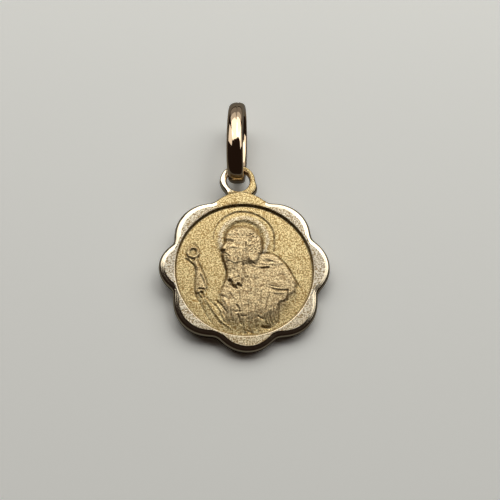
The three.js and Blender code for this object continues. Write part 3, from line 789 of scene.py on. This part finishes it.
def field_rings():
    """Points of the field and the rings that they make. Each ring has one point more for every lobe than the
    ring inside it."""
    floor_radius = FIELD_RADIUS - WALL_WIDTH
    places = [(0.0, 0.0)]
    rings = [[0]]
    for ring in range(1, FIELD_RINGS + 1):
        count = len(LOBES) * ring
        rings.append(list(range(len(places), len(places) + count)))
        places += [polar(360 * k / count, floor_radius * ring / FIELD_RINGS) for k in range(count)]
    xy = np.array(places)
    heights = FIELD_FLOOR + relief_at(xy[:, 0], xy[:, 1])[0]
    return np.c_[xy, heights].tolist(), rings


def edge_rings(angles):
    """The rings from the lip of the field over the rim and the edge to the back. Each has the finish of the
    band that ends at it, with its reach and height at every angle."""
    profile = edge_profile()
    rounding = [edge_share(angle) for angle in angles]
    rings = []
    for finish, outside, below in LIP_RINGS:
        rings.append((finish, [(FIELD_RADIUS + outside, MEDAL_THICKNESS - below)] * len(angles)))
    for step in range(1, RIM_STEPS):
        share = step / RIM_STEPS
        rings.append((FIELD_FINISH, [
            ((1 - share) * (FIELD_RADIUS + LIP_WIDTH) + share * outline_reach(a, size * profile[0][0]),
             MEDAL_THICKNESS)
            for a, size in zip(angles, rounding)]))
    for margin, drop in profile:
        finish = POLISHED_FINISH if drop > SHOULDER_SANDED_DROP else FIELD_FINISH
        rings.append((finish, [
            (outline_reach(a, size * margin), MEDAL_THICKNESS - size * drop)
            for a, size in zip(angles, rounding)]))
    for step in range(BACK_STEPS + 1):
        turn = math.pi / 2 * step / BACK_STEPS
        margin = BACK_EDGE_WIDTH * (1 - math.cos(turn))
        height = BACK_EDGE_HEIGHT * (1 - math.sin(turn))
        rings.append((POLISHED_FINISH, [(outline_reach(a, margin), height) for a in angles]))
    rings.append((BACK_FINISH, [(outline_reach(a, BACK_EDGE_WIDTH + BACK_MARGIN), 0) for a in angles]))
    return rings


def on_top_lobe(point):
    """Whether a point lies on the upper side of the top lobe, which is sanded out to its edge."""
    x, y, z = point
    lobe = SHAPED_LOBES[TOP_LOBE]
    from_middle = abs(turns_to(math.degrees(math.atan2(y, x)), lobe.middle))
    return from_middle < TOP_LOBE_SANDED * lobe.half and z > MEDAL_THICKNESS / 2


def disc(name, materials):
    """The disc as one closed surface of rings, from the middle of the field over the rim to the back."""
    points, rings = field_rings()
    finish_of_band = [FIELD_FINISH] * FIELD_RINGS
    sectors = len(rings[-1])
    angles = [360 * k / sectors for k in range(sectors)]
    for finish, places in edge_rings(angles):
        rings.append(list(range(len(points), len(points) + sectors)))
        points += [(*polar(angle, reach), height) for angle, (reach, height) in zip(angles, places)]
        finish_of_band.append(finish)
    first, last = rings[1], rings[-1]
    faces = [(0, p, first[(k + 1) % len(first)]) for k, p in enumerate(first)]
    finishes = [FIELD_FINISH] * len(faces)
    for k in range(1, len(rings) - 1):
        made = band(rings[k], rings[k + 1])
        faces += made
        finishes += [FIELD_FINISH if on_top_lobe(points[face[0]]) else finish_of_band[k] for face in made]
    back = len(points)
    points.append((0.0, 0.0, 0.0))
    faces += [(p, back, last[(k + 1) % sectors]) for k, p in enumerate(last)]
    finishes += [BACK_FINISH] * sectors
    return mesh_object(name, points, faces, materials, finishes)


def eyelet_section(angle):
    """The ring's section at an angle, with its corners rounded."""
    from_foot = abs(turns_to(angle, EYELET_FOOT_DIRECTION)) / EYELET_FOOT_ANGLE
    wall = np.interp(angle % 360, *zip(*EYELET_WALLS))
    hole = EYELET_HOLE - EYELET_NARROWER * math.cos(math.radians(angle)) ** 2
    reach = hole + wall + EYELET_FOOT * ease(2 * (1 - from_foot))
    inner = EYELET_INNER_ROUNDING
    outer = np.interp(angle % 360, *zip(*EYELET_ROUNDINGS))
    section = []
    for middle_r, middle_z, rounding, start in (
            (hole + inner, inner, inner, 180),
            (reach - inner, inner, inner, 270),
            (reach - outer, EYELET_THICKNESS - outer, outer, 0),
            (hole + inner, EYELET_THICKNESS - inner, inner, 90)):
        for turn in np.radians(np.linspace(start, start + 90, EYELET_CORNER_POINTS)):
            x, y = polar(angle, middle_r + rounding * math.cos(turn))
            z = middle_z + rounding * math.sin(turn)
            section.append((EYELET_X + x, EYELET_Y + y, EYELET_UNDERSIDE + z))
    return section


def eyelet(name, materials):
    """A flat ring with rounded edges, whose foot widens and runs into the top lobe. Its face is sanded but
    for the stretch where it is worn smooth."""
    angles = [-90 + 360 * k / EYELET_SECTORS for k in range(EYELET_SECTORS)]
    sections = [eyelet_section(angle) for angle in angles]
    points, faces = closed_tube(sections)
    face_height = EYELET_UNDERSIDE + EYELET_THICKNESS - EYELET_FACE_DEPTH
    finishes = []
    for number, face in enumerate(faces):
        angle = angles[number // len(sections[0])]
        worn = abs(turns_to(angle, EYELET_WORN_DIRECTION)) <= EYELET_WORN_ANGLE
        on_face = all(points[k][2] > face_height for k in face)
        finishes.append(FIELD_FINISH if on_face and not worn else POLISHED_FINISH)
    return mesh_object(name, points, faces, materials, finishes)


def united(name, first, second):
    """One solid of two that run into each other, in the frame of the first."""
    join = first.modifiers.new("join", "BOOLEAN")
    join.operation = "UNION"
    join.solver = "MANIFOLD"
    join.object = second
    shape = first.evaluated_get(bpy.context.evaluated_depsgraph_get())
    mesh = bpy.data.meshes.new_from_object(shape)
    mesh.name = name
    first.modifiers.remove(join)
    first.data = mesh
    bpy.data.objects.remove(second)
    return first


def full_curve(value, fullness):
    """A sine or cosine that draws a squarer round the greater the fullness is, and a circle at 2."""
    return math.copysign(abs(value) ** (2 / fullness), value)


def wire_section(fullness, seam_depth):
    """The wire's section, as rows of the place across and the rise over the wire's middle line."""
    seam_turns = [math.acos(-(2 * (SEAM_PLACE + line * SEAM_HALF) / WIRE_WIDTH) ** (fullness / 2))
                  for line in SEAM_LINES]
    section = []
    for around in sorted([2 * math.pi * side / WIRE_SIDES for side in range(WIRE_SIDES)] + seam_turns):
        side_fullness = WIRE_FULLNESS_LEFT if math.cos(around) > 0 else fullness
        across = -WIRE_WIDTH / 2 * full_curve(math.cos(around), side_fullness)
        outside = math.sin(around) > 0
        rise = full_curve(math.sin(around), side_fullness) * (WIRE_CROWN if outside else WIRE_INSIDE)
        if outside:
            rise -= seam_depth * max(1 - ((across - SEAM_PLACE) / SEAM_HALF) ** 2, 0)
        section.append((across, rise))
    return section


def hanging_loop(name, materials):
    """Wire with a domed outside, swept round an oval that stands upright."""
    half_length = LOOP_HALF_LENGTH - WIRE_CROWN
    half_height = LOOP_HALF_HEIGHT - WIRE_CROWN
    sections = []
    for k in range(LOOP_SECTIONS):
        turn = 2 * math.pi * k / LOOP_SECTIONS
        outward = Vector((half_height * math.cos(turn), half_length * math.sin(turn))).normalized()
        far = ease(WIRE_CHANGE + math.cos(turn))
        fullness = WIRE_FULLNESS_NEAR + (WIRE_FULLNESS_FAR - WIRE_FULLNESS_NEAR) * far
        seam_share = ease((math.cos(turn) - SEAM_END_COSINE) / SEAM_FADE) * (math.sin(turn) > SEAM_END_SINE)
        y, z = half_length * math.cos(turn), half_height * math.sin(turn)
        sections.append([
            (across, y + outward.x * rise, z + outward.y * rise)
            for across, rise in wire_section(fullness, SEAM_DEPTH * seam_share)])
    points, faces = closed_tube(sections)
    return mesh_object(name, points, faces, materials)


# Finish, painted shade and painted highlights by place

# The finish attribute holds three shares: x of the rim's coarse, pale finish, y of the raised work's and z of
# painted shade. The rim's is full at its sides and RIM_COARSE_ACROSS at its foot, and it fades in beside the
# top lobe, from an angle in degrees. The eyelet's left side and the halo's crest get some of it as a painted
# highlight, and painted shade lies in the grooves and in the corner at the foot of the wall.
RIM_FINE_ANGLE, RIM_FINE_FADE = 15, 12
RIM_COARSE_ACROSS = 0.5
EYELET_PAINTED_HIGHLIGHT = 0.7
EYELET_HIGHLIGHT_FROM, EYELET_HIGHLIGHT_FADE = -0.2, 0.6
HALO_PAINTED_HIGHLIGHT = 0.6
HALO_HIGHLIGHT_REACH, HALO_HIGHLIGHT_HALF = 0.12, 0.34
CORNER_PAINTED_SHADE = 0.8
CORNER_HALF = 1.6 * WALL_WIDTH
CORNER_BELOW_FLOOR = 0.05


def paint_finish_shade_and_highlights(obj):
    """Writes the finish attribute, with its painted shade and highlights, which the sanded gold reads, at
    every point of the medal.
    """
    places = np.empty(len(obj.data.vertices) * 3, np.float32)
    obj.data.vertices.foreach_get("co", places)
    x, y, z = places.reshape(-1, 3).T / MM
    reach = np.hypot(x, y)
    _, raised, groove = relief_at(x, y)
    wall = FIELD_RADIUS - WALL_WIDTH / 2
    in_field = reach < wall

    from_top = np.abs(turns_to(np.degrees(np.arctan2(y, x)), SHAPED_LOBES[TOP_LOBE].middle))
    sideways = np.abs(x) / np.maximum(reach, TINY)
    rim = ease((from_top - RIM_FINE_ANGLE) / RIM_FINE_FADE) * (reach > FIELD_RADIUS)
    rim = rim * (RIM_COARSE_ACROSS + (1 - RIM_COARSE_ACROSS) * sideways)
    # Painted highlight: the eyelet's left side takes the rim's pale tone.
    highlight_side = ease((EYELET_X + EYELET_HIGHLIGHT_FROM - x) / EYELET_HIGHLIGHT_FADE) * (y > EYELET_Y - EYELET_HOLE)
    # Painted highlight: a pale ring along the halo's crest.
    from_crest = np.abs(np.hypot(x - HALO_X, y - HALO_Y) - HALO_CREST - HALO_HIGHLIGHT_REACH)
    crest_highlight = ease(1 - from_crest / HALO_HIGHLIGHT_HALF) * (1 - raised) * (reach < FIELD_RADIUS)
    coarse = np.maximum(rim, np.maximum(EYELET_PAINTED_HIGHLIGHT * highlight_side, HALO_PAINTED_HIGHLIGHT * crest_highlight))

    # Painted shade: the relief's grooves and the corner at the foot of the field's wall are darkened.
    corner_shade = ease(1 - np.abs(reach - wall) / CORNER_HALF) * (z > FIELD_FLOOR - CORNER_BELOW_FLOOR)
    painted_shade = np.maximum(np.where(in_field, groove, 0), CORNER_PAINTED_SHADE * corner_shade)
    shares = np.stack([coarse, np.where(in_field, raised, 0), painted_shade], axis=1)
    finish = obj.data.attributes.new("finish", "FLOAT_VECTOR", "POINT")
    finish.data.foreach_set("vector", shares.astype(np.float32).ravel())


# Places in the frame

def medal_place():
    """Lays the medal on its back mount, turned as the mount's axis leans."""
    mount = next(m for m in frame["record"]["mounts"] if m["name"] == "back_face")
    up = -Vector(mount["axis"]).normalized()
    pitch = math.atan2(-up.y, up.z)
    roll = math.asin(up.x)
    turn = Matrix.Rotation(pitch, 3, "X") @ Matrix.Rotation(roll, 3, "Y")
    origin = Vector(mount["pos_m"]) - MM * (turn @ MOUNT_PLACE)
    return Matrix.Translation(origin) @ turn.to_4x4()


def loop_place():
    """Stands the loop in the middle of its solid's box, turned and leaning a little."""
    low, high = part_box("hanging_loop")
    turn = Matrix.Rotation(math.radians(-LOOP_TURN), 4, "Z")
    lean = Matrix.Rotation(math.radians(-LOOP_LEAN), 4, "Y")
    return Matrix.Translation((low + high) / 2) @ turn @ lean


# Materials

# Colours are sRGB, and sizes are in millimetres. The real grain of the sanded gold is finer than a pixel, so
# its specks are drawn GRAIN_SIZE across to show. A mirror finish waves as its metal was rubbed.
FIELD_LIGHT = "#ffeab0"
FIELD_DARK = "#ac884e"
RAISED_LIGHT = "#ffe8b4"
RAISED_DARK = "#ae9066"
RIM_LIGHT = "#fff5de"
RIM_DARK = "#aa9064"
# Dark brown of the painted shade in the grooves and at the wall's foot
PAINTED_SHADE = "#4a3216"
PAINTED_SHADE_SHARE = 0.7
GRAIN_SIZE = 0.12
GRAIN_HARDNESS = 0.7
RIM_GRAIN_HARDNESS = 0.6
FIELD_TONE_FROM = 0.44
RIM_TONE_FROM = 0.41
TONE_TO = 0.56
FIELD_GRAIN_DEPTH = 0.026
RAISED_GRAIN_DEPTH = 0.02
RIM_GRAIN_DEPTH = 0.036
BACK_GRAIN_DEPTH = 0.016
SANDED_ROUGHNESS = 0.46
EDGE_GOLD = "#f2e2c2"
EDGE_ROUGHNESS = 0.14
EDGE_WAVE = 1.2
LOOP_GOLD = "#eed2ae"
LOOP_ROUGHNESS = 0.06
LOOP_WAVE = 1.6
WAVE_HARDNESS = 0.6
WAVE_DEPTH = 0.012


def linear(hex_colour):
    """An sRGB hex colour as linear red, green, blue and alpha."""
    values = [int(hex_colour[k:k + 2], 16) / 255 for k in (1, 3, 5)]
    return [v / 12.92 if v <= 0.04045 else ((v + 0.055) / 1.055) ** 2.4 for v in values] + [1.0]


def add(tree, kind, inputs=None, **settings):
    """Adds a node with its settings. An input is a value, or another node's output to link."""
    made = tree.nodes.new(kind)
    for name, value in settings.items():
        setattr(made, name, value)
    for name, value in (inputs or {}).items():
        if isinstance(value, bpy.types.NodeSocket):
            tree.links.new(value, made.inputs[name])
        else:
            made.inputs[name].default_value = value
    return made


def new_material(name):
    material = bpy.data.materials.new(name)
    material.use_nodes = True
    material.node_tree.nodes.clear()
    return material, material.node_tree


def grains_of(size_mm):
    """The scale of a noise whose grains are about this size."""
    return 1 / (size_mm * MM)


def sanded_grain(tree, hardness, tone_from, tones):
    """Noise of the sanded grain, and a speckled gold from each pair of a dark and a light tone."""
    place = add(tree, "ShaderNodeTexCoord")
    noise = add(tree, "ShaderNodeTexNoise", {
        "Vector": place.outputs["Object"], "Scale": grains_of(GRAIN_SIZE), "Detail": 2.0,
        "Roughness": hardness})
    light_share = add(tree, "ShaderNodeMapRange", {
        "Value": noise.outputs["Fac"], "From Min": tone_from, "From Max": TONE_TO})
    golds = []
    for dark, light in tones:
        speckled = add(tree, "ShaderNodeMixRGB", {
            "Fac": light_share.outputs["Result"], "Color1": linear(dark), "Color2": linear(light)})
        golds.append(speckled.outputs["Color"])
    return noise.outputs["Fac"], golds


def gold_surface(tree, colour, roughness, height, depth):
    """Ends a gold's nodes with bare metal of this colour and roughness, bumped by a height."""
    bump = add(tree, "ShaderNodeBump", {"Height": height, "Strength": 1.0, "Distance": depth})
    shader = add(tree, "ShaderNodeBsdfPrincipled", {
        "Base Color": colour, "Metallic": 1.0, "Roughness": roughness, "Normal": bump.outputs["Normal"]})
    add(tree, "ShaderNodeOutputMaterial", {"Surface": shader.outputs["BSDF"]})


def sanded_gold(name):
    """Gold blasted with sand after striking: matt with small bright and dark specks, coarser and paler on the
    rim, with the rim's pale tone painted on as a highlight elsewhere. The raised work is a little worn and
    greyer, and brown shade is painted into the grooves."""
    material, tree = new_material(name)
    finish = add(tree, "ShaderNodeAttribute", attribute_name="finish")
    shares = add(tree, "ShaderNodeSeparateXYZ", {"Vector": finish.outputs["Vector"]})
    # The x share is the rim's pale finish, also painted on as highlights; the z share is painted shade.
    rim, raised, painted_shade = (shares.outputs[axis] for axis in ("X", "Y", "Z"))
    fine, (field_gold, raised_gold) = sanded_grain(
        tree, GRAIN_HARDNESS, FIELD_TONE_FROM, [(FIELD_DARK, FIELD_LIGHT), (RAISED_DARK, RAISED_LIGHT)])
    coarse, (rim_gold,) = sanded_grain(tree, RIM_GRAIN_HARDNESS, RIM_TONE_FROM, [(RIM_DARK, RIM_LIGHT)])
    struck = add(tree, "ShaderNodeMixRGB", {"Fac": raised, "Color1": field_gold, "Color2": raised_gold})
    bare = add(tree, "ShaderNodeMixRGB", {"Fac": rim, "Color1": struck.outputs["Color"], "Color2": rim_gold})
    # Painted shade: the grooves and the corner at the wall's foot are mixed towards dark brown.
    painted_shade_strength = add(tree, "ShaderNodeMath", {0: painted_shade, 1: PAINTED_SHADE_SHARE}, operation="MULTIPLY")
    colour = add(tree, "ShaderNodeMixRGB", {
        "Fac": painted_shade_strength.outputs["Value"], "Color1": bare.outputs["Color"], "Color2": linear(PAINTED_SHADE)})
    pits = add(tree, "ShaderNodeMixRGB", {"Fac": rim, "Color1": fine, "Color2": coarse})
    struck_depth = add(tree, "ShaderNodeMapRange", {
        "Value": raised, "To Min": FIELD_GRAIN_DEPTH * MM, "To Max": RAISED_GRAIN_DEPTH * MM})
    depth = add(tree, "ShaderNodeMath", {
        0: rim, 1: RIM_GRAIN_DEPTH * MM, 2: struck_depth.outputs["Result"]}, operation="MULTIPLY_ADD")
    gold_surface(
        tree, colour.outputs["Color"], SANDED_ROUGHNESS, pits.outputs["Color"], depth.outputs["Value"])
    return material


def plain_back(name):
    """The unseen back, taken as plain gold with the field's sanded grain, clean and unworn."""
    material, tree = new_material(name)
    fine, (gold,) = sanded_grain(tree, GRAIN_HARDNESS, FIELD_TONE_FROM, [(FIELD_DARK, FIELD_LIGHT)])
    gold_surface(tree, gold, SANDED_ROUGHNESS, fine, BACK_GRAIN_DEPTH * MM)
    return material


def polished_gold(name, hex_colour, roughness, wave_mm):
    """Gold brought to a mirror by hand: the reflections wander a little where the polishing wasn't even."""
    material, tree = new_material(name)
    place = add(tree, "ShaderNodeTexCoord")
    waves = add(tree, "ShaderNodeTexNoise", {
        "Vector": place.outputs["Object"], "Scale": grains_of(wave_mm), "Detail": 1.0,
        "Roughness": WAVE_HARDNESS})
    gold_surface(tree, linear(hex_colour), roughness, waves.outputs["Fac"], WAVE_DEPTH * MM)
    return material


# Studio

# The camera's place is in millimetres and its turn in degrees. The backdrop's start and end are how far from
# the medal the floor runs into it. The room is what the gold reflects beside the panels.
CAMERA_PLACE = (-2.653, -26.392, 50.597)
CAMERA_TURN = (25.585, -2.637, -2.158)
LENS = 44.07
SENSOR = 36.0
CLIP_END = 10
FLOOR_HALF = 2000
PAPER = "#848480"
PAPER_LIFT = 5.2
BACKDROP = "#bfbdb8"
BACKDROP_START = 45
BACKDROP_END = 150
ROOM = "#201815"
PANEL_DISTANCE = 300

# Soft light panels: azimuth and elevation, width and height in millimetres, brightness, and roll. Azimuth 0
# is behind the loop and 90 to the right, in degrees.
PANELS = {
    "back_left_panel": (-19, 53, 130, 205, 1.7, -7),
    "back_right_panel": (21, 53, 175, 205, 1.72, 7),
    "middle_back_panel": (4, 29, 360, 75, 0.6, 0),
    "right_panel": (60, 45, 170, 230, 1.2, 0),
    "left_panel": (-54, 42, 130, 230, 1.0, 0),
    "low_back_panel": (8, 13, 420, 90, 0.2, 0),
}


def paper_floor(name):
    """Matt studio paper. The picture shows it brighter than the metal sees it, so that it stays pale while
    the gold keeps its dark reflections, and far from the medal it runs into the backdrop's even tone."""
    material, tree = new_material(name)
    rays = add(tree, "ShaderNodeLightPath")
    seen_by_metal = linear(PAPER)
    shown = [PAPER_LIFT * c for c in seen_by_metal[:3]] + [1.0]
    colour = add(tree, "ShaderNodeMixRGB", {
        "Fac": rays.outputs["Is Camera Ray"], "Color1": seen_by_metal, "Color2": shown})
    paper = add(tree, "ShaderNodeBsdfDiffuse", {"Color": colour.outputs["Color"]})
    even_tone = add(tree, "ShaderNodeEmission", {"Color": linear(BACKDROP)})
    place = add(tree, "ShaderNodeTexCoord")
    reach = add(tree, "ShaderNodeVectorMath", {0: place.outputs["Object"]}, operation="LENGTH")
    far = add(tree, "ShaderNodeMapRange", {
        "Value": reach.outputs["Value"], "From Min": BACKDROP_START * MM, "From Max": BACKDROP_END * MM},
        interpolation_type="SMOOTHSTEP")
    share = add(tree, "ShaderNodeMath", {
        0: far.outputs["Result"], 1: rays.outputs["Is Camera Ray"]}, operation="MULTIPLY")
    shader = add(tree, "ShaderNodeMixShader", {
        0: share.outputs["Value"], 1: paper.outputs["BSDF"], 2: even_tone.outputs["Emission"]})
    add(tree, "ShaderNodeOutputMaterial", {"Surface": shader.outputs["Shader"]})
    return material


def camera():
    data = bpy.data.cameras.new("camera")
    data.lens = LENS
    data.sensor_width = SENSOR
    data.clip_start = MM
    data.clip_end = CLIP_END
    obj = bpy.data.objects.new("camera", data)
    obj.location = [MM * c for c in CAMERA_PLACE]
    obj.rotation_euler = [math.radians(a) for a in CAMERA_TURN]
    bpy.context.scene.collection.objects.link(obj)
    bpy.context.scene.camera = obj


def panel(name, azimuth, elevation, width, height, brightness, roll):
    """A soft light panel that faces the medal. A mirror shows the panel as bright as its brightness."""
    data = bpy.data.lights.new(name, "AREA")
    data.shape = "RECTANGLE"
    data.size, data.size_y = MM * width, MM * height
    data.energy = brightness * math.pi * data.size * data.size_y
    turn, rise = math.radians(azimuth), math.radians(elevation)
    obj = bpy.data.objects.new(name, data)
    obj.location = MM * PANEL_DISTANCE * Vector((
        math.sin(turn) * math.cos(rise), math.cos(turn) * math.cos(rise), math.sin(rise)))
    facing = (-obj.location).to_track_quat("-Z", "Y").to_matrix()
    obj.rotation_euler = (facing @ Matrix.Rotation(math.radians(roll), 3, "Z")).to_euler()
    bpy.context.scene.collection.objects.link(obj)


def room_and_backdrop():
    """The world: the picture shows it in the backdrop's tone, and the metal sees a dark room."""
    world = bpy.data.worlds.new("studio")
    bpy.context.scene.world = world
    world.use_nodes = True
    tree = world.node_tree
    tree.nodes.clear()
    room = add(tree, "ShaderNodeBackground", {"Color": linear(ROOM), "Strength": 1.0})
    pale = add(tree, "ShaderNodeBackground", {"Color": linear(BACKDROP), "Strength": 1.0})
    rays = add(tree, "ShaderNodeLightPath")
    shown = add(tree, "ShaderNodeMixShader", {
        0: rays.outputs["Is Camera Ray"], 1: room.outputs["Background"], 2: pale.outputs["Background"]})
    add(tree, "ShaderNodeOutputWorld", {"Surface": shown.outputs["Shader"]})


def studio():
    corners = [(x * FLOOR_HALF, y * FLOOR_HALF, 0) for x, y in ((-1, -1), (1, -1), (1, 1), (-1, 1))]
    floor = mesh_object("floor", corners, [(0, 1, 2, 3)], [paper_floor("studio_paper")])
    room_and_backdrop()
    for name, values in PANELS.items():
        panel(name, *values)


def put(obj, place, node_name):
    """Moves a piece to its place and ties it to the solid that it replaces."""
    obj.data.transform(place)
    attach(obj, "root")
    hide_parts(node_name)


bpy.context.scene.view_settings.view_transform = "Standard"
camera()
studio()
golds = [
    sanded_gold("sanded_yellow_gold"),
    polished_gold("polished_gold_edge", EDGE_GOLD, EDGE_ROUGHNESS, EDGE_WAVE),
    plain_back("plain_sanded_back"),
]
medal = united("struck_medal", disc("struck_medal", golds), eyelet("eyelet", golds))
paint_finish_shade_and_highlights(medal)
put(medal, medal_place(), "medal")
loop_gold = polished_gold("mirror_polished_gold", LOOP_GOLD, LOOP_ROUGHNESS, LOOP_WAVE)
loop = hanging_loop("oval_hanging_loop", [loop_gold])
put(loop, loop_place(), "hanging_loop")
